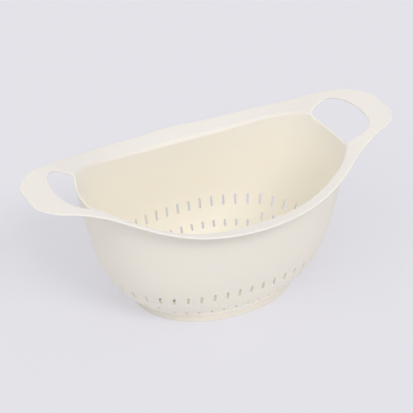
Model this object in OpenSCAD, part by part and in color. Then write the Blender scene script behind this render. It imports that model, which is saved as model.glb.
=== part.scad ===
// Oval colander with two loop handles.
// Millimetres, Z up. The origin is on the table under the middle of the bowl.
// X runs from handle to handle and Y runs across the bowl.
// The real thing is one moulding. Each node is one region of it, and neighbours meet face to face.

/* [Overall] */
// Length over both handles
overall_l = 400; // [260:5:480]
// Width over the rim
rim_w = 216.4; // [150:0.2:270]
// Thickness of the moulded wall
wall_t = 2.4; // [1.6:0.1:4]

/* [Bowl] */
// Outside length where the wall leaves the foot
base_l = 178.4; // [110:0.2:220]
// Outside width where the wall leaves the foot
base_w = 136.8; // [90:0.2:180]
// Outside length at the reference height
top_l = 282.4; // [180:0.2:330]
// Reach of the rim past the wall's reference width, along each long side
side_reach = 18.6; // [12:0.1:26]
// Reference height of the upper wall
top_h = 131.5; // [90:0.5:170]
// Height where the slotted lower wall ends
band_h = 58.5; // [45:0.5:90]
// Roundness of the plan at the foot, two is an ellipse
base_n = 2.08; // [2:0.02:3]
// Roundness of the plan at the reference height
plan_n = 2.34; // [2:0.02:3]
// How quickly the wall swells above the foot
belly_n = 5.1; // [2:0.1:8]
// Share of the swelling along the length that is plain draft
draft_share_l = 0.46; // [0:0.01:0.8]
// Share of the swelling across the width that is plain draft
draft_share_w = 0.14; // [0:0.01:0.8]

/* [Foot] */
// Height of the foot ring, which is also the height of the floor's underside
foot_h = 7.5; // [5:0.5:16]
// Outside length of the foot at the table
foot_l = 178.2; // [110:0.2:220]
// Outside width of the foot at the table
foot_w = 138.2; // [90:0.2:180]

/* [Rim] */
// Height of the rim in the middle of the long sides
rim_low_h = 128.4; // [90:0.1:170]
// Height of the handles
rim_high_h = 161.3; // [110:0.1:200]
// Where the rim stops rising, as a share of the half length
rise_share = 0.9; // [0.7:0.01:1]
// How late the rim starts to rise
rise_n = 1.43; // [1:0.01:2]
// Radius of the underside's fold from the wall to the brim
fold_r = 3.6; // [1:0.1:6]
// Width of the brim's sloping part
brim_w = 17; // [10:0.5:24]
// Drop of the brim from its edge to the fold
brim_drop = 4.6; // [2:0.1:10]
// How strongly the brim's slope eases off outwards
brim_n = 1.3; // [1.1:0.05:2]

/* [Handles] */
// How far a handle opening's cut reaches in over the bowl's wall
grip_bite = 6.7; // [4:0.1:9]
// Width of the bar that the hand holds
grip_bar_w = 28.2; // [18:0.1:36]
// Width of a handle opening
grip_w = 77; // [60:1:90]
// Drop from the handles to the wall's edge in the middle of an opening
grip_drop = 21.7; // [18:0.1:30]
// Rise of that edge from the middle to the sides of the opening
grip_rise = 4.2; // [0:0.1:6]

/* [Slots] */
// Slots in the upper row
row1_count = 46; // [36:2:60]
// Slots in the lower row
row2_count = 44; // [36:2:60]
// How much the upper row spreads towards the ends
row1_spread = 0.06; // [0:0.01:0.2]
// Width of every slot
slot_w = 2.6; // [1.6:0.1:3.4]
// Height of the upper row
row1_h = 40.5; // [34:0.5:50]
// Length of the upper row's slots
row1_len = 12; // [8:0.5:16]
// Height of the lower row along the sides
row2_h = 17.8; // [14:0.1:26]
// Height of the lower row at the two ends
row2_end_h = 24.9; // [18:0.1:29]
// Length of the lower row's slots
row2_len = 8; // [5:0.5:10]
// Length of the floor's slots
floor_len = 9; // [5:0.5:12]

/* [Hidden] */
// Outline of the rim in one quarter, from the handle's tip round: shares of the half length and half width
rim_plan_shares = [
    [1.000, 0.000], [0.992, 0.193], [0.919, 0.361], [0.788, 0.473], [0.674, 0.581],
    [0.578, 0.693], [0.469, 0.809], [0.341, 0.900], [0.190, 0.963], [0.000, 1.000]
];
// Rows across a handle opening: share of its half width, then the near and far edge as shares of its length
grip_row_shares = [
    [0.00, 0.00, 1.00], [0.20, 0.00, 0.985], [0.40, 0.00, 0.955], [0.60, 0.00, 0.905], [0.70, 0.00, 0.86],
    [0.83, 0.00, 0.775], [0.92, 0.05, 0.70], [0.98, 0.17, 0.61], [1.00, 0.33, 0.52]
];
knots = len(rim_plan_shares) - 1;
turn = 4 * knots;
// Straight steps between two knots of the plan
plan_steps = 3;
// Handles run this many knots each way from the handle's tip
handle_knots = 5;
band_steps = 5;
wall_steps = 4;
fold_steps = 4;
brim_steps = 5;
nose_steps = 4;
// Small steps for reading the direction of a face
step_s = 0.02;
step_t = 0.05;
step_a = 0.5;
step_z = wall_t / 5;
slot_sides = 8;
post_sides = 6;
grip_parts = 2;
// Where the floor's upper face turns flat, as a share of its width
floor_flat_share = 0.96;
// Outside width of the wall at the reference height
top_w = rim_w - 2 * side_reach;
grip_near_x = top_l / 2 - grip_bite;
grip_far_x = overall_l / 2 - grip_bar_w;
grip_low_h = rim_high_h - grip_drop;
// Where the lower row changes height, from the long axis
row2_turn = 33.5;
// Slope of the wall just under the fold
wall_slope = 86;
// Floor slots: share of the way out, and number
floor_row_shares = [[0.80, 36], [0.56, 24], [0.32, 12]];
cream = [0.925, 0.905, 0.84];
shade = [0.885, 0.865, 0.80];

function mix(p, q, f) = p + (q - p) * f;
function unit(v) = v / norm(v);

// Smooth curve through four neighbouring points
function curve4(p, q, r, s, f) =
    0.5 * (2 * q + (r - p) * f + (2 * p - 5 * q + 4 * r - s) * f * f + (3 * q - p - 3 * r + s) * f * f * f);

function flip_y(p) = [p.x, -p.y];
function flip_x(p) = [-p.x, p.y];

// Point of the rim's outline in the first quarter, f runs from nought to the number of knots
function quarter_plan(f) = let(
        k = min(floor(f), knots - 1),
        p = k == 0 ? flip_y(rim_plan_shares[1]) : rim_plan_shares[k - 1],
        s = k == knots - 1 ? flip_x(rim_plan_shares[knots - 1]) : rim_plan_shares[k + 2],
        c = curve4(p, rim_plan_shares[k], rim_plan_shares[k + 1], s, f - k)
    ) [c.x * overall_l / 2, c.y * rim_w / 2];

function wrap(t) = t - turn * floor(t / turn);
function plan_point(t) = let(
        w = wrap(t),
        f = w <= knots ? w : w <= 2 * knots ? 2 * knots - w : w <= 3 * knots ? w - 2 * knots : turn - w,
        p = quarter_plan(f)
    ) [w <= knots || w >= 3 * knots ? p.x : -p.x, w <= 2 * knots ? p.y : -p.y];

// Plan radius of a rounded oval in one direction
function oval_r(a, half_l, half_w, n) =
    pow(pow(abs(cos(a)) / half_l, n) + pow(abs(sin(a)) / half_w, n), -1 / n);
function at_r(a, r, z) = [r * cos(a), r * sin(a), z];

// How far the wall has swelled at a height, nought at the foot and one at the reference height
function belly(z, draft) = let(u = (z - foot_h) / (top_h - foot_h))
    draft * u + (1 - draft) * (1 - pow(max(1 - u, 0), belly_n));
function wall_r(a, z) = let(bl = belly(z, draft_share_l), bw = belly(z, draft_share_w))
    oval_r(a, mix(base_l, top_l, bl) / 2, mix(base_w, top_w, bw) / 2, mix(base_n, plan_n, bl));

// Height of the rim's upper face at a distance along the length, and its slope there
function rim_h(x) = let(u = min(abs(x) / (rise_share * overall_l / 2), 1))
    mix(rim_low_h, rim_high_h, (1 - cos(180 * pow(u, rise_n))) / 2);
function rim_slope(x) = (rim_h(x + wall_t) - rim_h(x - wall_t)) / (2 * wall_t);

// The fold in one direction: plan radius and height where it starts, then where it ends, then its slope there
function fold_ends(a) = let(
        guess = oval_r(a, top_l / 2, top_w / 2, plan_n) * cos(a),
        slope = atan(brim_n * brim_drop / brim_w + rim_slope(guess) * cos(a)),
        zb = rim_h(guess) - wall_t - brim_drop - fold_r * (cos(slope) - cos(wall_slope)),
        rb = wall_r(a, zb),
        rf = rb + fold_r * (sin(wall_slope) - sin(slope))
    ) [rb, zb, rf, rim_h(rf * cos(a)) - wall_t - brim_drop, slope];

function fold_point(a, f) = let(
        e = fold_ends(a),
        b = mix(wall_slope, e[4], f),
        r = e[0] + fold_r * (sin(wall_slope) - sin(b)),
        v = (cos(b) - cos(wall_slope)) / (cos(e[4]) - cos(wall_slope))
    ) at_r(a, r, mix(e[1], e[3], v));

function brim_point(a, f, edge) = let(
        e = fold_ends(a),
        r = mix(e[2], edge - wall_t / 2, f),
        dip = brim_drop * pow(max(1 - (r - e[2]) / brim_w, 0), brim_n)
    ) at_r(a, r, rim_h(r * cos(a)) - wall_t - dip);

// Outer face of the whole moulding: t runs round it, s runs up the slotted wall, plain wall, fold and brim
function skin(t, s) = let(
        p = plan_point(t),
        a = atan2(p.y, p.x)
    )
    s <= 1 ? let(z = mix(foot_h, band_h, s * (1 + s) / 2)) at_r(a, wall_r(a, z), z) :
    s <= 2 ? let(z = mix(band_h, fold_ends(a)[1], s - 1)) at_r(a, wall_r(a, z), z) :
    s <= 3 ? fold_point(a, s - 2) : brim_point(a, s - 3, norm(p));

function along(t, s) = unit(skin(t + step_t, s) - skin(t - step_t, s));
function upward(t, s) = unit(skin(t, min(s + step_s, 4)) - skin(t, max(s - step_s, 0)));
function outward(t, s) = unit(cross(along(t, s), upward(t, s)));
function inner(t, s) = skin(t, s) - wall_t * outward(t, s);

// Rounded edge of the brim
function nose(t, f) = let(
        n = outward(t, 4),
        e = unit(cross(n, along(t, 4)))
    ) skin(t, 4) - n * wall_t / 2 + (n * cos(180 * f) + e * sin(180 * f)) * wall_t / 2;

function shell_loop(t, first, last, steps) = concat(
    [for (i = [0 : steps]) skin(t, mix(first, last, i / steps))],
    [for (i = [steps : -1 : 0]) inner(t, mix(first, last, i / steps))]
);
function rim_loop(t) = concat(
    [for (i = [0 : fold_steps]) skin(t, 2 + i / fold_steps)],
    [for (i = [1 : brim_steps]) skin(t, 3 + i / brim_steps)],
    [for (i = [1 : nose_steps - 1]) nose(t, i / nose_steps)],
    [for (i = [brim_steps : -1 : 1]) inner(t, 3 + i / brim_steps)],
    [for (i = [fold_steps : -1 : 0]) inner(t, 2 + i / fold_steps)]
);

// Faces of a band of loops with k points each, closed into a ring or with two ends.
// The last strip closes each loop and takes the other diagonal, so that it matches the neighbouring node.
function side_faces(rows, k, total) = [
    for (i = [0 : rows - 1])
    for (j = [0 : k - 1])
    for (h = [0, 1])
    let(a = i * k, b = ((i + 1) % total) * k, n = (j + 1) % k)
    n == 0
        ? (h == 0 ? [a + j, a + n, b + j] : [a + n, b + n, b + j])
        : (h == 0 ? [a + j, a + n, b + n] : [a + j, b + n, b + j])
];
function end_faces(start, k, facing) = [
    for (i = [0 : floor(k / 2) - 1])
    for (h = [0, 1])
    let(o = start + i, p = start + i + 1, n = start + k - 1 - i, m = n - 1)
    if (p <= m + 1 && !(p > m && h == 1))
    let(f = h == 0 ? [o, n, p] : [n, m, p])
    if (f[0] != f[1] && f[1] != f[2] && f[0] != f[2])
    facing < 0 ? f : [f[2], f[1], f[0]]
];

module ring_of(loops) {
    k = len(loops[0]);
    polyhedron([for (l = loops) each l], side_faces(len(loops), k, len(loops)));
}
module sector_of(loops) {
    k = len(loops[0]);
    m = len(loops);
    polyhedron(
        [for (l = loops) each l],
        concat(side_faces(m - 1, k, m), end_faces(0, k, -1), end_faces((m - 1) * k, k, 1))
    );
}

ring_ts = [for (i = [0 : turn * plan_steps - 1]) i / plan_steps];

// Angles at equal distances round the wall at a height
function sum_to(v, i, acc) = i == 0 ? acc : sum_to(v, i - 1, acc + v[i - 1]);
arc_parts = 72;
function arc_table(z) = let(
        pts = [for (i = [0 : arc_parts]) let(a = 90 * i / arc_parts) at_r(a, wall_r(a, z), 0)],
        legs = [for (i = [0 : arc_parts - 1]) norm(pts[i + 1] - pts[i])]
    ) [for (i = [0 : arc_parts]) [sum_to(legs, i, 0), 90 * i / arc_parts]];
function ease_out(w, spread) = mix(w, w * w * w, spread);
function slot_angles(z, n, spread) = let(
        table = arc_table(z),
        quarter = table[arc_parts][0]
    ) [for (i = [0 : n - 1]) let(
        q = 4 * i / n,
        k = floor(q),
        w = k % 2 == 0 ? q - k : 1 - q + k,
        a = lookup(quarter * (1 - ease_out(w, spread)), table)
    ) k == 0 ? a : k == 1 ? -a : k == 2 ? a - 180 : 180 - a];

// Direction that points out of the wall at an angle and height
function wall_out(a, z) = let(
        up = at_r(a, wall_r(a, z + step_z), z + step_z) - at_r(a, wall_r(a, z - step_z), z - step_z),
        side = at_r(a + step_a, wall_r(a + step_a, z), z) - at_r(a - step_a, wall_r(a - step_a, z), z)
    ) unit(cross(side, up));

module slot_cutter(length) {
    hull() {
        for (e = [-1, 1]) {
            translate([0, 0, e * (length - slot_w) / 2])
            rotate([0, 90, 0])
            cylinder(d = slot_w, h = 4 * wall_t, center = true, $fn = slot_sides);
        }
    }
}

module wall_slot(a, z, length) {
    n = wall_out(a, z);
    low = z + n.z * wall_t;
    translate(at_r(a, wall_r(a, low), low) - n * wall_t / 2)
    rotate([0, -asin(n.z), atan2(n.y, n.x)])
    slot_cutter(length);
}

module floor_slot(a, share) {
    r = share * oval_r(a, base_l / 2, base_w / 2, base_n);
    translate(at_r(a, r, foot_h + wall_t / 2))
    rotate([0, 90, a])
    slot_cutter(floor_len);
}

// Rows across a handle opening, with extra rows between the listed ones
function grip_row(i) = let(n = len(grip_row_shares) - 1, r = grip_row_shares[min(abs(i), n)])
    i < 0 ? [-r[0], r[1], r[2]] : r;
function grip_rows(parts) = let(n = len(grip_row_shares) - 1) [
    for (i = [0 : n * parts])
    let(k = min(floor(i / parts), n - 1))
    curve4(grip_row(k - 1), grip_row(k), grip_row(k + 1), grip_row(k + 2), i / parts - k)
];

// The cut for a handle opening, built as slices across it; its underside leaves the wall's edge standing
module grip_cutter() {
    rows = grip_rows(grip_parts);
    n = len(rows);
    for (side = [-1, 1])
    for (i = [0 : n - 2]) {
        hull() {
            for (r = [rows[i], rows[i + 1]])
            for (x = [r[1], r[2]])
            translate([
                mix(grip_near_x, grip_far_x, x),
                side * r[0] * grip_w / 2,
                grip_low_h + grip_rise * r[0] * r[0]
            ])
            cylinder(d = wall_t / 20, h = rim_high_h, $fn = post_sides);
        }
    }
}

module foot_ring() {
    color(shade)
    ring_of([
        for (t = ring_ts)
        let(p = plan_point(t), a = atan2(p.y, p.x))
        let(top = wall_r(a, foot_h), low = oval_r(a, foot_l / 2, foot_w / 2, base_n), soft = wall_t / 4)
        [
            at_r(a, low - soft, 0), at_r(a, low, soft), at_r(a, top, foot_h),
            at_r(a, top - wall_t, foot_h), at_r(a, low - wall_t, soft), at_r(a, low - wall_t + soft, 0)
        ]
    ]);
}

module floor_plate() {
    m = len(ring_ts);
    rims = [for (t = ring_ts) [skin(t, 0), inner(t, 0)]];
    flat = [
        for (t = ring_ts)
        let(p = inner(t, 0) * floor_flat_share)
        [p.x, p.y, foot_h + wall_t]
    ];
    points = concat(
        [for (r = rims) r[0]], [for (r = rims) r[1]], flat,
        [[0, 0, foot_h], [0, 0, foot_h + wall_t]]
    );
    faces = [
        for (i = [0 : m - 1])
        let(n = (i + 1) % m)
        each [
            [3 * m, i, n],
            [i, m + i, m + n], [i, m + n, n],
            [m + i, 2 * m + i, 2 * m + n], [m + i, 2 * m + n, m + n],
            [2 * m + i, 3 * m + 1, 2 * m + n]
        ]
    ];
    polyhedron(points, faces);
}

module drain_floor() {
    color(cream)
    difference() {
        floor_plate();
        for (row = floor_row_shares)
        for (i = [0 : row[1] - 1])
        floor_slot(360 * (i + 0.5) / row[1], row[0]);
    }
}

module drain_band() {
    color(cream)
    difference() {
        ring_of([for (t = ring_ts) shell_loop(t, 0, 1, band_steps)]);
        for (a = slot_angles(row1_h, row1_count, row1_spread)) {
            wall_slot(a, row1_h, row1_len);
        }
        for (a = slot_angles(row2_h, row2_count, 0)) {
            wall_slot(a, abs(cos(a)) > cos(row2_turn) ? row2_end_h : row2_h, row2_len);
        }
    }
}

module bowl_wall() {
    color(cream)
    difference() {
        ring_of([for (t = ring_ts) shell_loop(t, 1, 2, wall_steps)]);
        grip_cutter();
        mirror([1, 0, 0]) grip_cutter();
    }
}

module rim_part(first, last) {
    sector_of([for (i = [0 : (last - first) * plan_steps]) rim_loop(first + i / plan_steps)]);
}

module rim_back() {
    color(cream)
    rim_part(handle_knots, 2 * knots - handle_knots);
}

module rim_front() {
    color(cream)
    rim_part(2 * knots + handle_knots, turn - handle_knots);
}

module handle_right() {
    color(shade)
    difference() {
        rim_part(-handle_knots, handle_knots);
        grip_cutter();
    }
}

module handle_left() {
    color(shade)
    difference() {
        rim_part(2 * knots - handle_knots, 2 * knots + handle_knots);
        mirror([1, 0, 0]) grip_cutter();
    }
}

foot_ring();
drain_floor();
drain_band();
bowl_wall();
rim_front();
rim_back();
handle_left();
handle_right();
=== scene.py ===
"""Oval colander with two loop handles, dressed for its picture.

The real one is a single moulding. Every piece of its bowl and brim is cut here as a flat sheet, given its
holes and its thickness flat, and then bent round by one surface formula, so that no seam shows where pieces
meet. Flat places are (angle in degrees, place up the section, depth from nought outside to one inside).
Sizes are in mm.
"""
from bisect import bisect
from collections import namedtuple
from functools import lru_cache
from math import atan, atan2, cos, degrees, floor, hypot, inf, pi, radians, sin

import bmesh
import bpy
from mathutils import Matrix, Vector


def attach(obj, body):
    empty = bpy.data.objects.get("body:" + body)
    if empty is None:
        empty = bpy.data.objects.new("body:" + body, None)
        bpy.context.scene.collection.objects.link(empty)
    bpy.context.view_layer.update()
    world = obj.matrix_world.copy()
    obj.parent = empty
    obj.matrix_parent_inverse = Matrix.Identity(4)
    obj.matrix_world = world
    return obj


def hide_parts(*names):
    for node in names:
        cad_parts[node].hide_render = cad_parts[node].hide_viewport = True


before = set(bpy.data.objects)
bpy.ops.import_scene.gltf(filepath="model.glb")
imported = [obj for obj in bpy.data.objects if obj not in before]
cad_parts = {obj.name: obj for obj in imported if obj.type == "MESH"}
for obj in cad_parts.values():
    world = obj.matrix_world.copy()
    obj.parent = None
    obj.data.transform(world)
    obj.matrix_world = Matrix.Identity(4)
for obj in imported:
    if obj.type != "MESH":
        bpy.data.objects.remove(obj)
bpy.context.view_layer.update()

MM = 0.001

# Sizes of the moulding, as in the solids
OVERALL_L, RIM_W, WALL_T = 400.0, 216.4, 2.4
BASE_L, BASE_W, TOP_L, TOP_W, TOP_H, BAND_H = 178.4, 136.8, 282.4, 179.2, 131.5, 58.5
BASE_N, PLAN_N, BELLY_N, DRAFT_L, DRAFT_W = 2.08, 2.34, 5.1, 0.46, 0.14
FOOT_H, FOOT_L, FOOT_W = 7.5, 178.2, 138.2
RIM_LOW_H, RIM_HIGH_H, RISE_SHARE, RISE_N = 128.4, 161.3, 0.9, 1.43
FOLD_R, BRIM_W, BRIM_DROP, BRIM_N, WALL_SLOPE = 3.6, 17.0, 4.6, 1.3, 86.0
GRIP_BITE, GRIP_BAR_W, GRIP_W, GRIP_DROP, GRIP_RISE = 6.7, 28.2, 77.0, 21.7, 4.2
ROW1_COUNT, ROW2_COUNT, ROW1_SPREAD = 46, 44, 0.06
SLOT_W, ROW1_H, ROW1_LEN = 2.6, 40.5, 12.0
ROW2_H, ROW2_END_H, ROW2_LEN, ROW2_TURN = 17.8, 24.9, 8.0, 33.5
FLOOR_LEN, FLOOR_ROWS = 9.0, ((0.80, 36), (0.56, 24), (0.32, 12))
# Outline of the rim in one quarter, from the handle's tip round, as shares of the half length and half width
RIM_PLAN = ((1, 0), (0.992, 0.193), (0.919, 0.361), (0.788, 0.473), (0.674, 0.581),
            (0.578, 0.693), (0.469, 0.809), (0.341, 0.9), (0.19, 0.963), (0, 1))
# Far edge of a handle opening: share of its half width, and share of its length from the near edge
GRIP_ROWS = ((0, 1), (0.2, 0.985), (0.4, 0.955), (0.6, 0.905), (0.7, 0.86),
             (0.83, 0.775), (0.92, 0.7), (0.98, 0.61), (1, 0.52))
GRIP_NEAR, GRIP_FAR, GRIP_LOW = TOP_L / 2 - GRIP_BITE, OVERALL_L / 2 - GRIP_BAR_W, RIM_HIGH_H - GRIP_DROP
# The handle pieces end at this point of the rim's outline
HANDLE_POINT = 5
HANDLE_A = degrees(atan2(RIM_PLAN[HANDLE_POINT][1] * RIM_W, RIM_PLAN[HANDLE_POINT][0] * OVERALL_L))

# Places up the section of the rim pieces: start of the upper wall, of the fold and of the brim, and its edge
WALL_AT, FOLD_AT, BRIM_AT, EDGE_AT = 1, 2, 3, 4
# The openings bite into the wall, so the rim pieces take over from the upper wall here
WALL_SPLIT = 1.8

# Rounding of the slots' edges, and reach of the rounded corners of a handle opening
EDGE_SOFT, GRIP_ROUND = 0.3, 14.0
# Steps over which slopes are measured: degrees, places on the rim, and mm of height
TURN_STEP, RIM_STEP, RISE_STEP = 0.1, 0.01, 0.5
# Flat places nearer than this are the same one, and points of a bent piece nearer than this are merged
CLOSE, WELD = 1e-3, 0.002 * MM

# How fine the pieces are: columns along them, and rows up the upper wall, fold, brim and round edges
WALL_COLUMNS, FOOT_COLUMNS, RIM_COLUMNS, HANDLE_COLUMNS = 360, 240, 150, 92
WALL_ROWS, OVERLAP_ROWS, FOLD_ROWS, BRIM_ROWS, LIP_ROWS = 10, 2, 10, 14, 5
# Parts that the outline's curve and a quarter of the wall are measured in, and steps of a search
QUARTER_PARTS, ARC_PARTS, HALVINGS = 200, 72, 18

# The photo shows the brim and the wall just above the foot lighter than their slopes make them. So their
# facing directions are turned by these shares: the brim's to level, and the wall's to the foot's side, less
# and less up to a height above the foot.
BRIM_TURN, FOOT_TURN, FOOT_REACH = 0.5, 0.75, 10.0
# The lighter inner tone is painted light on the inner faces, and it also fades up the outer wall, to this
# height above the foot, as painted light there
PAINTED_LIGHT_CLIMB = 40.0
# The brim's tone, a painted sheen, comes with the fold, and on the inner face this share of the fold
# earlier, which dims the fold's highlight with painted shade
FOLD_PAINTED_SHADE_AHEAD = 0.4


def mix(p, q, f):
    return p + (q - p) * f


def steps(first, last, count):
    return [mix(first, last, i / count) for i in range(count + 1)]


def curve4(p, q, r, s, f):
    """Smooth curve between the middle two of four neighbouring values."""
    bow = 2 * p - 5 * q + 4 * r - s
    twist = 3 * q - p - 3 * r + s
    return 0.5 * (2 * q + (r - p) * f + bow * f * f + twist * f ** 3)


# Surface of the moulding

def quarter_plan(f):
    """Point of the rim's outline, counted in points of RIM_PLAN from the handle's tip."""
    last = len(RIM_PLAN) - 1
    k = min(floor(f), last - 1)
    p = (RIM_PLAN[1][0], -RIM_PLAN[1][1]) if k == 0 else RIM_PLAN[k - 1]
    s = (-RIM_PLAN[last - 1][0], RIM_PLAN[last - 1][1]) if k == last - 1 else RIM_PLAN[k + 2]
    share = [curve4(p[i], RIM_PLAN[k][i], RIM_PLAN[k + 1][i], s[i], f - k) for i in (0, 1)]
    return share[0] * OVERALL_L / 2, share[1] * RIM_W / 2


QUARTER = [quarter_plan(i / QUARTER_PARTS) for i in range(QUARTER_PARTS * (len(RIM_PLAN) - 1) + 1)]
QUARTER_A = [degrees(atan2(y, x)) for x, y in QUARTER]


def edge_r(a):
    """Distance of the brim's outline from the middle, in one direction."""
    a = abs((a + 180) % 360 - 180)
    a = 180 - a if a > 90 else a
    i = min(max(bisect(QUARTER_A, a) - 1, 0), len(QUARTER) - 2)
    f = (a - QUARTER_A[i]) / (QUARTER_A[i + 1] - QUARTER_A[i])
    return mix(hypot(*QUARTER[i]), hypot(*QUARTER[i + 1]), f)


def oval_r(a, half_l, half_w, n):
    """Distance of an oval from its middle. The oval fills its box more, the higher n is."""
    c, s = abs(cos(radians(a))), abs(sin(radians(a)))
    return ((c / half_l) ** n + (s / half_w) ** n) ** (-1 / n)


def at_r(a, r, z):
    return Vector((r * cos(radians(a)), r * sin(radians(a)), z))


def belly(z, draft):
    """Share of the way from the base oval to the top oval at a height: a straight draft and a swell."""
    u = (z - FOOT_H) / (TOP_H - FOOT_H)
    return draft * u + (1 - draft) * (1 - max(1 - u, 0) ** BELLY_N)


def wall_r(a, z):
    bl, bw = belly(z, DRAFT_L), belly(z, DRAFT_W)
    return oval_r(a, mix(BASE_L, TOP_L, bl) / 2, mix(BASE_W, TOP_W, bw) / 2, mix(BASE_N, PLAN_N, bl))


def wall_face(a, z):
    """Outer face of the bowl's wall at a height."""
    return at_r(a, wall_r(a, z), z)


def rim_h(x):
    """Height of the brim's top, which rises along the length to the handles."""
    u = min(abs(x) / (RISE_SHARE * OVERALL_L / 2), 1)
    return mix(RIM_LOW_H, RIM_HIGH_H, (1 - cos(pi * u ** RISE_N)) / 2)


@lru_cache(None)
def fold_ends(a):
    """Where the fold starts (radius, height) and ends (radius, height), and its slope there."""
    c = cos(radians(a))
    guess = oval_r(a, TOP_L / 2, TOP_W / 2, PLAN_N) * c
    rise = (rim_h(guess + WALL_T) - rim_h(guess - WALL_T)) / (2 * WALL_T)
    slope = atan(BRIM_N * BRIM_DROP / BRIM_W + rise * c)
    steep = radians(WALL_SLOPE)
    zb = rim_h(guess) - WALL_T - BRIM_DROP - FOLD_R * (cos(slope) - cos(steep))
    rb = wall_r(a, zb)
    rf = rb + FOLD_R * (sin(steep) - sin(slope))
    return rb, zb, rf, rim_h(rf * c) - WALL_T - BRIM_DROP, slope


def rim_face(a, s):
    """Outer face of the upper wall, the fold and the brim, whose outer face is its underside."""
    rb, zb, rf, zf, slope = fold_ends(a)
    if s <= FOLD_AT:
        return wall_face(a, mix(BAND_H, zb, s - WALL_AT))
    if s <= BRIM_AT:
        steep = radians(WALL_SLOPE)
        b = mix(steep, slope, s - FOLD_AT)
        share = (cos(b) - cos(steep)) / (cos(slope) - cos(steep))
        return at_r(a, rb + FOLD_R * (sin(steep) - sin(b)), mix(zb, zf, share))
    r = mix(rf, edge_r(a) - WALL_T / 2, s - BRIM_AT)
    dip = BRIM_DROP * max(1 - (r - rf) / BRIM_W, 0) ** BRIM_N
    return at_r(a, r, rim_h(r * cos(radians(a))) - WALL_T - dip)


# Lower corners of the foot ring: their radius, and their points from the bottom round to the side, seen from
# the corner's centre. Then the rows up its outer side, as shares of the way down.
FOOT_SOFT = WALL_T / 4
FOOT_ARC = [(FOOT_SOFT * sin(radians(t)), FOOT_SOFT * cos(radians(t))) for t in (0, 30, 60, 90)]
FOOT_SIDE = (0.66, 0.33, 0)
# Last of the foot's places: its two inner points, its two rounded corners and its outer side
FOOT_LAST = 2 + 2 * len(FOOT_ARC) + len(FOOT_SIDE) - 1


def foot_face(a, q):
    """Section of the foot ring: q runs round it, from the inner top corner down and back up outside."""
    top, low = wall_r(a, FOOT_H), oval_r(a, FOOT_L / 2, FOOT_W / 2, BASE_N)
    outline = [(top - WALL_T, FOOT_H), (mix(top, low, 0.5) - WALL_T, FOOT_H / 2)]
    outline += [(low - WALL_T + FOOT_SOFT - x, FOOT_SOFT - z) for x, z in reversed(FOOT_ARC)]
    outline += [(low - FOOT_SOFT + x, FOOT_SOFT - z) for x, z in FOOT_ARC]
    outline += [(mix(top, low, f), FOOT_H * (1 - f)) for f in FOOT_SIDE]
    k = min(max(int(q), 0), FOOT_LAST - 1)
    return at_r(a, *(mix(outline[k][i], outline[k + 1][i], q - k) for i in (0, 1)))


def floor_face(a, f):
    """Underside of the floor at a share of the way out."""
    return at_r(a, f * wall_r(a, FOOT_H), FOOT_H)


def facing(face, a, s):
    """Direction that points out of a face, and the direction up its section."""
    step, top = (RIM_STEP, EDGE_AT) if face is rim_face else (RISE_STEP, inf)
    along = face(a + TURN_STEP, s) - face(a - TURN_STEP, s)
    up = face(a, min(s + step, top)) - face(a, s - step)
    out = along.cross(up).normalized()
    return out, out.cross(along).normalized()


@lru_cache(None)
def foot_side(a):
    """Direction that points out of the foot ring's side, just under the bowl."""
    return facing(foot_face, a, FOOT_LAST)[0]


def turned_brim(s, out, up):
    """Facing directions of the brim, turned towards level. The turn comes with the fold."""
    along = up.cross(out)
    level = (along * along.z - Vector((0, 0, 1))).normalized()
    out = out.lerp(level, BRIM_TURN * min(s - FOLD_AT, 1)).normalized()
    return out, out.cross(along)


def tone_shares(face, s, deep):
    """How much of the brim's tone, a painted sheen, and of the inner tone, painted light, a flat place has.
    """
    if face is wall_face:
        return 0, max(deep, 1 - (s - FOOT_H) / PAINTED_LIGHT_CLIMB)
    return min(max(s - FOLD_AT + FOLD_PAINTED_SHADE_AHEAD * deep, 0), 1), deep


def bend(bm, face):
    """Bends a flat sheet round the bowl. Past its last place, the brim's edge is drawn out to its nose."""
    shown = bm.verts.layers.float_vector.new("facing")
    brim, inner = (bm.verts.layers.float.new(name) for name in ("brim_painted_sheen_share", "inner_painted_light_share"))
    for v in bm.verts:
        a, s, deep = v.co
        # Shares of the brim's painted sheen and of the inner faces' painted light
        v[brim], v[inner] = tone_shares(face, s, deep)
        nose = max(s - EDGE_AT, 0) if face is rim_face else 0
        out, up = facing(face, a, s - nose)
        if face is wall_face and deep < 0.5:
            turn = max(1 - (s - FOOT_H) / FOOT_REACH, 0) * FOOT_TURN
            out = out.lerp(foot_side(a), turn).normalized()
        v.co = (face(a, s - nose) + up * nose * WALL_T / 2 - out * deep * WALL_T) * MM
        if face is rim_face and s > FOLD_AT:
            out, up = turned_brim(s, out, up)
        if nose > 0:
            v[shown] = out * (1 - 2 * deep) + up * nose
        elif deep < CLOSE or deep > 1 - CLOSE:
            v[shown] = out if deep < 0.5 else -out


# Flat sheets

def points(geom):
    return [g for g in geom if isinstance(g, bmesh.types.BMVert)]


def lines(geom):
    return [g for g in geom if isinstance(g, bmesh.types.BMEdge)]


def sheet(bm, columns, rows):
    """Flat grid with its lines at the given angles and heights."""
    last_i, last_j = len(columns) - 1, len(rows) - 1
    grid = bmesh.ops.create_grid(bm, x_segments=last_i, y_segments=last_j, size=0.5)["verts"]
    for v in grid:
        i, j = round((v.co.x + 0.5) * last_i), round((v.co.y + 0.5) * last_j)
        v.co = columns[i], rows[j], 0
        for f in v.link_faces:
            f.smooth = True
    return grid


def thicken(bm):
    """Gives a flat sheet its depth, and returns the edges that cross it."""
    copy = bmesh.ops.extrude_face_region(bm, geom=bm.faces[:], use_keep_orig=True)["geom"]
    for v in points(copy):
        v.co.z = 1
    return [e for e in bm.edges if abs(e.verts[0].co.z - e.verts[1].co.z) > 0.5]


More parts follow.
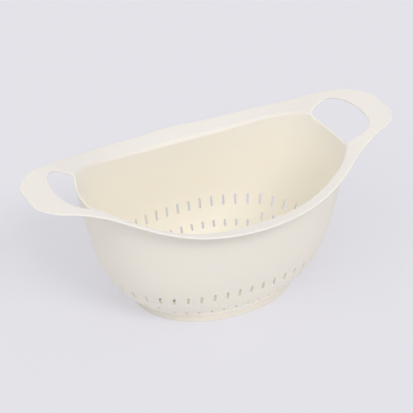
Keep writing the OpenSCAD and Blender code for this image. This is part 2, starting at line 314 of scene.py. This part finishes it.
def split(bm, edges, cuts):
    """Cuts edges into equal lengths and returns the new points."""
    return points(bmesh.ops.subdivide_edges(bm, edges=edges, cuts=cuts)["geom_inner"])


def widen(bm, edges, height):
    """Adds a row of faces along an edge of a sheet, out to a height, and returns its new edges."""
    row = bmesh.ops.extrude_edge_only(bm, edges=edges)["geom"]
    for v in points(row):
        v.co.y = height(v.co.y)
    return lines(row)


def open_seam(bm, first, last):
    """Takes away the end faces of a sheet that goes right round, where its two ends will be joined."""
    ends = [f for f in bm.faces if all(abs(v.co.x - first) < CLOSE for v in f.verts)
            or all(abs(v.co.x - last) < CLOSE for v in f.verts)]
    bmesh.ops.delete(bm, geom=ends, context="FACES_ONLY")
    loose = [e for e in bm.edges if not e.link_faces]
    bmesh.ops.delete(bm, geom=loose, context="EDGES")


def cut_faces(bm, places):
    """The hidden faces where a piece meets its neighbours stay flat: places tests one flat point."""
    for f in bm.faces:
        if any(all(test(v.co) for v in f.verts) for test in places):
            f.smooth = False
            for e in f.edges:
                e.smooth = False


moulding_pieces = []


def make_piece(name, bm, *nodes):
    """Closes a bent sheet, gives it its facing directions, and lets it take the place of its nodes."""
    bmesh.ops.remove_doubles(bm, verts=bm.verts[:], dist=WELD)
    bmesh.ops.recalc_face_normals(bm, faces=bm.faces[:])
    if bm.calc_volume(signed=True) < 0:
        bmesh.ops.reverse_faces(bm, faces=bm.faces[:])
    bm.normal_update()
    shown = bm.verts.layers.float_vector["facing"]
    normals = []
    for f in bm.faces:
        for v in f.verts:
            own = v[shown] if v[shown].length > 0.1 else v.normal
            normals.append(own.normalized() if f.smooth else Vector())
    mesh = bpy.data.meshes.new(name)
    bm.verts.layers.float_vector.remove(shown)
    bm.to_mesh(mesh)
    bm.free()
    mesh.normals_split_custom_set(normals)
    piece = bpy.data.objects.new(name, mesh)
    bpy.context.scene.collection.objects.link(piece)
    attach(piece, "root")
    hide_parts(*nodes)
    moulding_pieces.append(piece)


# Slots

# A slot's middle (flat place), half its straight part, its own directions sideways and up, and how the face
# runs past it for one degree and for one step up
Slot = namedtuple("Slot", "a z half side up along rise")
# Points on the level and upright sides of a slot's cell, and the ring of face kept round each slot
LEVEL_CUTS, UPRIGHT_CUTS, SLOT_RING = 5, 3, 1


def wall_slot(a, inner_z, length):
    """A slot square through the wall, with its middle at a height on the inner face."""
    z = inner_z + facing(wall_face, a, inner_z)[0].z * WALL_T
    out, _ = facing(wall_face, a, z)
    along = wall_face(a + 0.5, z) - wall_face(a - 0.5, z)
    rise = (wall_face(a, z + RISE_STEP) - wall_face(a, z - RISE_STEP)) / (2 * RISE_STEP)
    side = Vector((0, 0, 1)).cross(out).normalized()
    return Slot(a, z, (length - SLOT_W) / 2, side, out.cross(side), along, rise)


def floor_slot(a, share):
    """A slot in the floor that points to the middle, at a share of the base oval."""
    f = share * oval_r(a, BASE_L / 2, BASE_W / 2, BASE_N) / wall_r(a, FOOT_H)
    along = floor_face(a + 0.5, f) - floor_face(a - 0.5, f)
    rise = floor_face(a, f + 0.5) - floor_face(a, f - 0.5)
    out = at_r(a, 1, 0)
    return Slot(a, f, (FLOOR_LEN - SLOT_W) / 2, Vector((-out.y, out.x, 0)), out, along, rise)


def on_slot(slot, x, y):
    """Flat place of a point x mm beside and y mm above a slot's middle."""
    p = slot.side * x + slot.up * y
    out = slot.along.cross(slot.rise)
    turn = p.cross(slot.rise).dot(out) / out.dot(out)
    climb = slot.along.cross(p).dot(out) / out.dot(out)
    return slot.a + turn, slot.z + climb


def from_slot(slot, a, z):
    """The way back: mm beside and above a slot's middle."""
    p = slot.along * (a - slot.a) + slot.rise * (z - slot.z)
    return p.dot(slot.side), p.dot(slot.up)


def round_slot(slot, ux, uy, r):
    """Point on a slot's outline that goes with a place on the border of its cell."""
    if abs(uy) > 1 - CLOSE:
        x, y = r * sin(ux * pi / 2), (slot.half + r * cos(ux * pi / 2)) * (1 if uy > 0 else -1)
    else:
        x, y = (r if ux > 0 else -r), slot.half * uy
    return on_slot(slot, x, y)


def draw_in(slots, v, r):
    """Moves a point of a slot's rim to r mm from the slot's middle line."""
    slot = min(slots, key=lambda s: sum(c * c for c in from_slot(s, v.co.x, v.co.y)))
    x, y = from_slot(slot, v.co.x, v.co.y)
    mid = max(-slot.half, min(slot.half, y))
    size = hypot(x, y - mid)
    v.co.x, v.co.y = on_slot(slot, x / size * r, mid + (y - mid) / size * r)


def slot_row(bm, slots, borders, low, high):
    """A strip of cells, one round each slot, with the slots cut out. Returns its lower and upper edges."""
    grid = sheet(bm, borders, (0, 1))
    cells = list({f for v in grid for f in v.link_faces})
    sides = {e for v in grid for e in v.link_edges}
    level = [e for e in sides if e.verts[0].co.y == e.verts[1].co.y]
    upright = [e for e in sides if e.verts[0].co.x == e.verts[1].co.x]
    bmesh.ops.bisect_edges(bm, edges=level, cuts=LEVEL_CUTS)
    bmesh.ops.bisect_edges(bm, edges=upright, cuts=UPRIGHT_CUTS)
    rim = {e for f in cells for e in f.edges}
    bottom = [e for e in rim if all(v.co.y < CLOSE for v in e.verts)]
    top = [e for e in rim if all(v.co.y > 1 - CLOSE for v in e.verts)]
    holes = bmesh.ops.extrude_discrete_faces(bm, faces=cells)["faces"]
    inside = {v for f in holes for v in f.verts}
    for f in holes:
        left, right = min(v.co.x for v in f.verts), max(v.co.x for v in f.verts)
        slot = min(slots, key=lambda s: abs(s.a - (left + right) / 2))
        for v in f.verts:
            ux, uy = 2 * (v.co.x - left) / (right - left) - 1, 2 * v.co.y - 1
            v.co.x, v.co.y = round_slot(slot, ux, uy, SLOT_W / 2 + SLOT_RING)
    border = {v for e in rim for v in e.verts} - inside
    for v in border:
        v.co.y = mix(low(v.co.x), high(v.co.x), v.co.y)
    holes = bmesh.ops.extrude_discrete_faces(bm, faces=holes)["faces"]
    for v in {v for f in holes for v in f.verts}:
        draw_in(slots, v, SLOT_W / 2 + EDGE_SOFT)
    bmesh.ops.delete(bm, geom=holes, context="FACES_ONLY")
    return bottom, top


def soften_slots(bm, crossing, slots):
    """Rounds the slots' edges a little: two loops in each slot's wall, drawn in to the slot's own size."""
    soft = EDGE_SOFT / WALL_T
    for v in split(bm, crossing, 2):
        v.co.z = soft if v.co.z < 0.5 else 1 - soft
        draw_in(slots, v, SLOT_W / 2)


def arc_angles(z, count, spread):
    """Angles at equal distances round the wall at a height, from the long side, eased towards the ends."""
    quarter = [at_r(a, wall_r(a, z), 0) for a in steps(0, 90, ARC_PARTS)]
    run = [0.0]
    for p, q in zip(quarter, quarter[1:]):
        run.append(run[-1] + (q - p).length)

    def angle(length):
        i = min(max(sum(1 for r in run if r < length) - 1, 0), ARC_PARTS - 1)
        return 90 * (i + (length - run[i]) / (run[i + 1] - run[i])) / ARC_PARTS

    angles = []
    for i in range(count):
        q = 4 * i / count
        k = floor(q)
        w = q - k if k % 2 == 0 else 1 - q + k
        a = angle(run[-1] * (1 - mix(w, w ** 3, spread)))
        angles.append((a, -a, a - 180, -180 - a)[k])
    return angles


def full_turn(angles, seam):
    """Slot angles in rising order over one turn from the seam, and the borders between their cells."""
    inside = sorted((a - seam) % 360 + seam for a in angles)
    return inside, [seam] + [(a + b) / 2 for a, b in zip(inside, inside[1:])] + [seam + 360]


# Bowl

# Lower and upper edge of the upper row's cells, half height of the lower row's, and the rows above them
ROW1_CELL_LOW, ROW1_CELL_HIGH, ROW2_CELL, BAND_ROWS = 31.0, 47.5, 5.0, (51.2, 54.9, BAND_H)


def make_band():
    bm = bmesh.new()
    a1, a2 = arc_angles(ROW1_H, ROW1_COUNT, ROW1_SPREAD), arc_angles(ROW2_H, ROW2_COUNT, 0)
    seam = (a1[0] + a1[1] + a2[0] + a2[1]) / 4 - 360
    a1, borders1 = full_turn(a1, seam)
    a2, borders2 = full_turn(a2, seam)

    def row2_h(a):
        return ROW2_END_H if abs(cos(radians(a))) > cos(radians(ROW2_TURN)) else ROW2_H

    slots1 = [wall_slot(a, ROW1_H, ROW1_LEN) for a in a1]
    slots2 = [wall_slot(a, row2_h(a), ROW2_LEN) for a in a2]

    def row2_mid(a):
        """Middle height of the lower row's cells, which changes over one cell where the row steps."""
        for left, right in zip(slots2, slots2[1:]):
            if left.a <= a <= right.a:
                f = (a - left.a) / (right.a - left.a)
                return mix(left.z, right.z, f * f * (3 - 2 * f))
        return slots2[0].z

    bottom1, top1 = slot_row(bm, slots1, borders1, lambda a: ROW1_CELL_LOW, lambda a: ROW1_CELL_HIGH)
    bottom2, top2 = slot_row(bm, slots2, borders2,
                             lambda a: row2_mid(a) - ROW2_CELL, lambda a: row2_mid(a) + ROW2_CELL)
    bmesh.ops.bridge_loops(bm, edges=top2 + bottom1)
    for height in BAND_ROWS:
        top1 = widen(bm, top1, lambda y: height)
    for share in (0.5, 1):
        bottom2 = widen(bm, bottom2, lambda y: mix(y, FOOT_H, share))
    for f in bm.faces:
        f.smooth = True
    crossing = thicken(bm)
    ends = (seam, seam + 360)
    caps = [lambda c: abs(c.y - FOOT_H) < CLOSE, lambda c: abs(c.y - BAND_H) < CLOSE]
    in_holes = [e for e in crossing if not any(cap(e.verts[0].co) for cap in caps)
                and min(abs(e.verts[0].co.x - x) for x in ends) > CLOSE]
    soften_slots(bm, in_holes, slots1 + slots2)
    open_seam(bm, *ends)
    cut_faces(bm, caps)
    bend(bm, wall_face)
    make_piece("slotted_wall", bm, "drain_band")


def make_upper_wall():
    bm = bmesh.new()
    sheet(bm, steps(0, 360, WALL_COLUMNS), steps(WALL_AT, WALL_SPLIT, WALL_ROWS))
    thicken(bm)
    open_seam(bm, 0, 360)
    cut_faces(bm, [lambda c: c.y < WALL_AT + CLOSE, lambda c: c.y > WALL_SPLIT - CLOSE])
    bend(bm, rim_face)
    make_piece("upper_wall", bm, "bowl_wall")


# Brim

RIM_ROWS = (steps(WALL_SPLIT, FOLD_AT, OVERLAP_ROWS)[:-1] + steps(FOLD_AT, BRIM_AT, FOLD_ROWS)[:-1]
            + steps(BRIM_AT, EDGE_AT, BRIM_ROWS))


def round_nose(bm, crossing):
    """Draws the brim's edge out to a half round."""
    nose = [e for e in crossing if all(v.co.y > EDGE_AT - CLOSE for v in e.verts)]
    for v in split(bm, nose, LIP_ROWS):
        turn = v.co.z * pi
        v.co.y, v.co.z = EDGE_AT + sin(turn), (1 - cos(turn)) / 2


def rim_caps(first, last):
    return [lambda c: c.x < first + CLOSE, lambda c: c.x > last - CLOSE, lambda c: c.y < WALL_SPLIT + CLOSE]


def make_rim(name, middle, node):
    bm = bmesh.new()
    first, last = middle - 90 + HANDLE_A, middle + 90 - HANDLE_A
    sheet(bm, steps(first, last, RIM_COLUMNS), RIM_ROWS)
    round_nose(bm, thicken(bm))
    cut_faces(bm, rim_caps(first, last))
    bend(bm, rim_face)
    make_piece(name, bm, node)


# Handles

# Flat place near the middle of an opening
GRIP_MID = (0.0, 2.8)
# Hole in a handle's flat grid, a little larger than the opening: half angle, last place, and how far the row
# at its foot is lowered
HOLE_A, HOLE_TOP, HOLE_DROP = 16.8, 3.58, 0.05
# Share of the way to the opening's edge that each new ring of points goes
RING_PULLS = (0.45, 0.64, 1.0)


def grip_far(u):
    """Far edge of a handle opening at a share of its half width."""
    last = len(GRIP_ROWS) - 1
    k = max(i for i in range(last) if GRIP_ROWS[i][0] <= min(u, 1 - CLOSE))
    f = (min(u, 1) - GRIP_ROWS[k][0]) / (GRIP_ROWS[k + 1][0] - GRIP_ROWS[k][0])
    shares = [GRIP_ROWS[abs(i)][1] for i in (k - 1, k, k + 1, min(k + 2, last))]
    return mix(GRIP_NEAR, GRIP_FAR, curve4(*shares, f))


def soft_min(p, q):
    """The smaller of two distances, rounded where they are alike, which rounds the opening's corners."""
    near = max(GRIP_ROUND - abs(p - q), 0) / GRIP_ROUND
    return min(p, q) - near * near * GRIP_ROUND / 4


def inside_grip(a, s):
    """How far a place on the rim lies inside the handle opening, in mm, less than nought outside."""
    out, _ = facing(rim_face, a, min(s, EDGE_AT))
    p = rim_face(a, s) - out * WALL_T / 2
    u = abs(p.y) / (GRIP_W / 2)
    low = GRIP_LOW + GRIP_RISE * min(u, 1) ** 2
    return soft_min(min(grip_far(u) - p.x, GRIP_W / 2 - abs(p.y)), p.z - low)


def to_outline(place, depth_in):
    """Point between a place outside the opening and its middle that lies depth_in mm inside its edge."""
    low, high = 0.0, 1.0
    for _ in range(HALVINGS):
        f = (low + high) / 2
        a, s = mix(place[0], GRIP_MID[0], f), mix(place[1], GRIP_MID[1], f)
        low, high = (f, high) if inside_grip(a, s) < depth_in else (low, f)
    return mix(place[0], GRIP_MID[0], low), mix(place[1], GRIP_MID[1], low)


def cut_grip(bm, grid, columns):
    """Cuts a hole in a handle's grid and closes it in to the opening, by rings of new faces."""
    side = max(c for c in columns if c < HOLE_A)
    low, high = RIM_ROWS[1] - HOLE_DROP, min(r for r in RIM_ROWS if r > HOLE_TOP)
    for v in grid:
        if abs(v.co.y - RIM_ROWS[1]) < CLOSE:
            v.co.y = low
    hole = {f for f in bm.faces
            if all(abs(v.co.x) < side + CLOSE and low - CLOSE < v.co.y < high + CLOSE for v in f.verts)}
    around = {e for f in hole for e in f.edges}
    border = [e for e in around if sum(f in hole for f in e.link_faces) == 1]
    bmesh.ops.delete(bm, geom=list(hole), context="FACES")
    edges = [e for e in border if e.is_valid]
    for pull in RING_PULLS:
        ring = bmesh.ops.extrude_edge_only(bm, edges=edges)["geom"]
        for v in points(ring):
            goal = to_outline((v.co.x, v.co.y), -WALL_T / 2)
            v.co.x, v.co.y = mix(v.co.x, goal[0], pull), mix(v.co.y, goal[1], pull)
        edges = lines(ring)
    for f in bm.faces:
        f.smooth = True


def round_lip(bm, crossing):
    """Rounds the edge of a handle opening to a half round."""
    lip = [e for e in crossing if abs(e.verts[0].co.x) < HANDLE_A - CLOSE
           and WALL_SPLIT + CLOSE < e.verts[0].co.y < EDGE_AT - CLOSE]
    for v in split(bm, lip, LIP_ROWS):
        turn = v.co.z * pi
        v.co.x, v.co.y = to_outline((v.co.x, v.co.y), -WALL_T / 2 * (1 - sin(turn)))
        v.co.z = (1 - cos(turn)) / 2


def make_handle(name, middle, node):
    bm = bmesh.new()
    columns = steps(-HANDLE_A, HANDLE_A, HANDLE_COLUMNS)
    cut_grip(bm, sheet(bm, columns, RIM_ROWS), columns)
    crossing = thicken(bm)
    round_lip(bm, crossing)
    round_nose(bm, [e for e in crossing if e.is_valid])
    cut_faces(bm, rim_caps(-HANDLE_A, HANDLE_A))
    for v in bm.verts:
        v.co.x += middle
    bend(bm, rim_face)
    make_piece(name, bm, node)


# Floor and foot

# Half the reach of a ring of floor cells, as a share of the way out
FLOOR_CELL = 0.1


def make_foot():
    bm = bmesh.new()
    sheet(bm, steps(0, 360, FOOT_COLUMNS), list(range(FOOT_LAST + 1)))
    # The foot ring's own layer carries its darker tone, which is painted shade
    shown, foot_shade_layer = bm.verts.layers.float_vector.new("facing"), bm.verts.layers.float.new("foot_painted_shade_share")
    for v in bm.verts:
        a, q, _ = v.co
        out = facing(foot_face, a, q)[0]
        if q > FOOT_LAST - 0.5:
            out = facing(wall_face, a, FOOT_H)[0].lerp(out, FOOT_TURN)
        v[shown], v[foot_shade_layer] = out, 1
        v.co = foot_face(a, q) * MM
    bmesh.ops.remove_doubles(bm, verts=bm.verts[:], dist=WELD)
    rings = [e for e in bm.edges if len(e.link_faces) == 1]
    top = bmesh.ops.bridge_loops(bm, edges=rings)["faces"]
    for f in bm.faces:
        f.smooth = f not in top
    for f in top:
        for e in f.edges:
            e.smooth = False
    make_piece("foot_ring_moulding", bm, "foot_ring")


def make_floor():
    """The flat floor, cut ring by ring from its rim to the middle."""
    bm = bmesh.new()
    slots, rings = [], []
    for share, count in FLOOR_ROWS:
        ring = [floor_slot(360 * (i + 0.5) / count, share) for i in range(count)]
        low, high = share - FLOOR_CELL, share + FLOOR_CELL
        rings.append(slot_row(bm, ring, steps(0, 360, count), lambda a: low, lambda a: high))
        slots += ring
    widen(bm, rings[0][1], lambda y: 1)
    for outer, inner in zip(rings, rings[1:]):
        bmesh.ops.bridge_loops(bm, edges=inner[1] + outer[0])
    widen(bm, rings[-1][0], lambda y: 0)
    for f in bm.faces:
        f.smooth = True
    crossing = thicken(bm)
    in_holes = [e for e in crossing if CLOSE < e.verts[0].co.y < 1 - CLOSE
                and CLOSE < e.verts[0].co.x < 360 - CLOSE]
    soften_slots(bm, in_holes, slots)
    hub = [f for f in bm.faces if all(v.co.y < CLOSE for v in f.verts)]
    bmesh.ops.delete(bm, geom=hub, context="FACES_ONLY")
    open_seam(bm, 0, 360)
    cut_faces(bm, [lambda c: c.y > 1 - CLOSE])
    shown = bm.verts.layers.float_vector.new("facing")
    for v in bm.verts:
        a, f, deep = v.co
        v[shown] = (0, 0, -1 if deep < CLOSE else 1 if deep > 1 - CLOSE else 0)
        if f > 1 - CLOSE and deep > 1 - CLOSE:
            v.co = (wall_face(a, FOOT_H) - facing(wall_face, a, FOOT_H)[0] * WALL_T) * MM
        else:
            v.co = (floor_face(a, f) + Vector((0, 0, deep * WALL_T))) * MM
    make_piece("slotted_floor", bm, "drain_floor")


make_foot()
make_floor()
make_band()
make_upper_wall()
make_rim("back_rim", 90, "rim_back")
make_rim("front_rim", 270, "rim_front")
make_handle("right_handle", 0, "handle_right")
make_handle("left_handle", 180, "handle_left")


# Finish

def linear(hex_colour):
    parts = [int(hex_colour[i:i + 2], 16) / 255 for i in (1, 3, 5)]
    return [c / 12.92 if c <= 0.04045 else ((c + 0.055) / 1.055) ** 2.4 for c in parts] + [1]


def add(tree, kind, inputs=(), **settings):
    """Adds a node. An input is a value, or the output of another node."""
    node = tree.nodes.new(kind)
    for key, value in settings.items():
        setattr(node, key, value)
    for key, value in dict(inputs).items():
        if isinstance(value, bpy.types.NodeSocket):
            tree.links.new(value, node.inputs[key])
        else:
            node.inputs[key].default_value = value
    return node


def new_material(name):
    material = bpy.data.materials.new(name)
    material.use_nodes = True
    material.node_tree.nodes.clear()
    return material, material.node_tree


# Clouds in the plastic and its gloss are broad and faint. The mould's grain is drawn coarser than the real
# one, which is some tenths of a millimetre and wouldn't show.
CLOUD_SIZE, GRAIN_SIZE, GRAIN_DEPTH = 70 * MM, 1.2 * MM, 0.02 * MM
# Outer faces of bowl; inner faces, painted lighter as painted light; brim and handles, painted whiter as a
# painted sheen; foot ring, painted darker as painted shade; and the tone that the clouds drift to
OUTER_TONE, INNER_PAINTED_LIGHT_TONE, BRIM_PAINTED_SHEEN_TONE = "#EAE5DA", "#F5F0E4", "#ECE7E1"
FOOT_PAINTED_SHADE_TONE, DRIFT_TONE, DRIFT_SHARE = "#E6E0D4", "#EDE7DB", 0.12


def moulded_plastic():
    """Cream polypropylene, injection moulded in a satin mould: a soft broad shine, a fine grain and a little
    light in the depth of the wall. The tones of its parts are written as the photo shows them."""
    material, tree = new_material("cream_polypropylene_satin")
    place = add(tree, "ShaderNodeTexCoord").outputs["Object"]
    cloud = add(tree, "ShaderNodeTexNoise", {"Vector": place, "Scale": 1 / CLOUD_SIZE, "Detail": 3.0})
    drift = add(tree, "ShaderNodeMapRange", {"Value": cloud.outputs["Fac"], "To Max": DRIFT_SHARE})
    tone = linear(OUTER_TONE)
    # Painted light on the inner faces, painted sheen on the brim and handles, painted shade on the foot ring
    parts = (("inner_painted_light_share", INNER_PAINTED_LIGHT_TONE), ("brim_painted_sheen_share", BRIM_PAINTED_SHEEN_TONE), ("foot_painted_shade_share", FOOT_PAINTED_SHADE_TONE))
    for share, hex_colour in parts:
        part = add(tree, "ShaderNodeAttribute", attribute_name=share)
        tone = add(tree, "ShaderNodeMix", {0: part.outputs["Fac"], 6: tone, 7: linear(hex_colour)},
                   data_type="RGBA").outputs[2]
    tone = add(tree, "ShaderNodeMix", {0: drift.outputs["Result"], 6: tone, 7: linear(DRIFT_TONE)},
               data_type="RGBA").outputs[2]
    grain = add(tree, "ShaderNodeTexNoise", {"Vector": place, "Scale": 1 / GRAIN_SIZE, "Detail": 2.0})
    bump = add(tree, "ShaderNodeBump", {"Height": grain.outputs["Fac"], "Distance": GRAIN_DEPTH,
                                        "Strength": 0.6})
    gloss = add(tree, "ShaderNodeMapRange", {"Value": cloud.outputs["Fac"], "To Min": 0.48, "To Max": 0.56})
    shader = add(tree, "ShaderNodeBsdfPrincipled", {
        "Base Color": tone, "Roughness": gloss.outputs["Result"], "Normal": bump.outputs["Normal"],
        "IOR": 1.49, "Subsurface Weight": 0.25, "Subsurface Radius": (1.0, 0.7, 0.4),
        "Subsurface Scale": 0.25 * MM})
    add(tree, "ShaderNodeOutputMaterial", {"Surface": shader.outputs["BSDF"]})
    return material


plastic = moulded_plastic()
for piece in moulding_pieces:
    piece.data.materials.append(plastic)


# Floor, light and camera

TABLE_TONE = "#E4E3E9"
# Share of its own plain colour that the table shows to the camera and in the gloss, so its shadow stays pale
TABLE_LIFT = 0.45
# Reach of the table from its middle, in metres
TABLE_REACH = 6
# Name, direction that the light comes from, strength, and how wide it looks, in degrees
LIGHTS = (("window", (0.14, -0.69, 0.71), 0.9, 22), ("reflector", (-0.66, -0.39, 0.64), 0.56, 70))
# Level of the white room: with the lamps, it shows the table in its own colour. The gloss sees it brighter.
ROOM_LEVEL, CEILING_LEVEL = 0.683, 1.0
# Camera fitted to the picture: its width and its lens in pixels, and where it stands and looks
PICTURE_PX, LENS_PX, SENSOR = 413, 1498.35, 36
CAMERA_AT, CAMERA_AIM = (-0.5999, -1.1294, 0.9306), (0.3883, 0.7402, -0.5489)


def make_table():
    material, tree = new_material("pale_table")
    paper = add(tree, "ShaderNodeBsdfPrincipled", {"Base Color": linear(TABLE_TONE), "Roughness": 0.9,
                                                  "Specular IOR Level": 0.0})
    glow = add(tree, "ShaderNodeEmission", {"Color": linear(TABLE_TONE), "Strength": 1.0})
    ray = add(tree, "ShaderNodeLightPath")
    seen = add(tree, "ShaderNodeMath", {0: ray.outputs["Is Camera Ray"], 1: ray.outputs["Is Glossy Ray"]},
               operation="MAXIMUM")
    lift = add(tree, "ShaderNodeMath", {0: seen.outputs["Value"], 1: TABLE_LIFT}, operation="MULTIPLY")
    backdrop = add(tree, "ShaderNodeMixShader", {0: lift.outputs["Value"], 1: paper.outputs["BSDF"],
                                                 2: glow.outputs["Emission"]})
    add(tree, "ShaderNodeOutputMaterial", {"Surface": backdrop.outputs["Shader"]})
    bm = bmesh.new()
    bmesh.ops.create_grid(bm, x_segments=1, y_segments=1, size=TABLE_REACH)
    mesh = bpy.data.meshes.new("table")
    bm.to_mesh(mesh)
    bm.free()
    table = bpy.data.objects.new("table", mesh)
    table.data.materials.append(material)
    bpy.context.scene.collection.objects.link(table)


def make_light(name, direction, energy, spread):
    """Broad soft light from a direction, given as a sun so that the floor keeps one even tone."""
    lamp = bpy.data.lights.new(name, "SUN")
    lamp.energy, lamp.angle = energy, radians(spread)
    light = bpy.data.objects.new(name, lamp)
    light.rotation_euler = Vector(direction).to_track_quat("Z", "Y").to_euler()
    bpy.context.scene.collection.objects.link(light)


def make_camera():
    lens = bpy.data.cameras.new("camera")
    lens.sensor_width, lens.lens = SENSOR, LENS_PX / PICTURE_PX * SENSOR
    lens.clip_start, lens.clip_end = 0.05, 50
    camera = bpy.data.objects.new("camera", lens)
    camera.location = CAMERA_AT
    camera.rotation_euler = Vector(CAMERA_AIM).to_track_quat("-Z", "Y").to_euler()
    bpy.context.scene.collection.objects.link(camera)
    bpy.context.scene.camera = camera


def make_world():
    world = bpy.data.worlds.new("studio")
    world.use_nodes = True
    world.node_tree.nodes.clear()
    ray = add(world.node_tree, "ShaderNodeLightPath")
    level = add(world.node_tree, "ShaderNodeMapRange",
                {"Value": ray.outputs["Is Glossy Ray"], "To Min": ROOM_LEVEL, "To Max": CEILING_LEVEL})
    light = add(world.node_tree, "ShaderNodeBackground",
                {"Color": linear("#FFFFFF"), "Strength": level.outputs["Result"]})
    add(world.node_tree, "ShaderNodeOutputWorld", {"Surface": light.outputs["Background"]})
    bpy.context.scene.world = world


make_table()
for light_settings in LIGHTS:
    make_light(*light_settings)
make_camera()
make_world()
bpy.context.scene.view_settings.view_transform = "Standard"
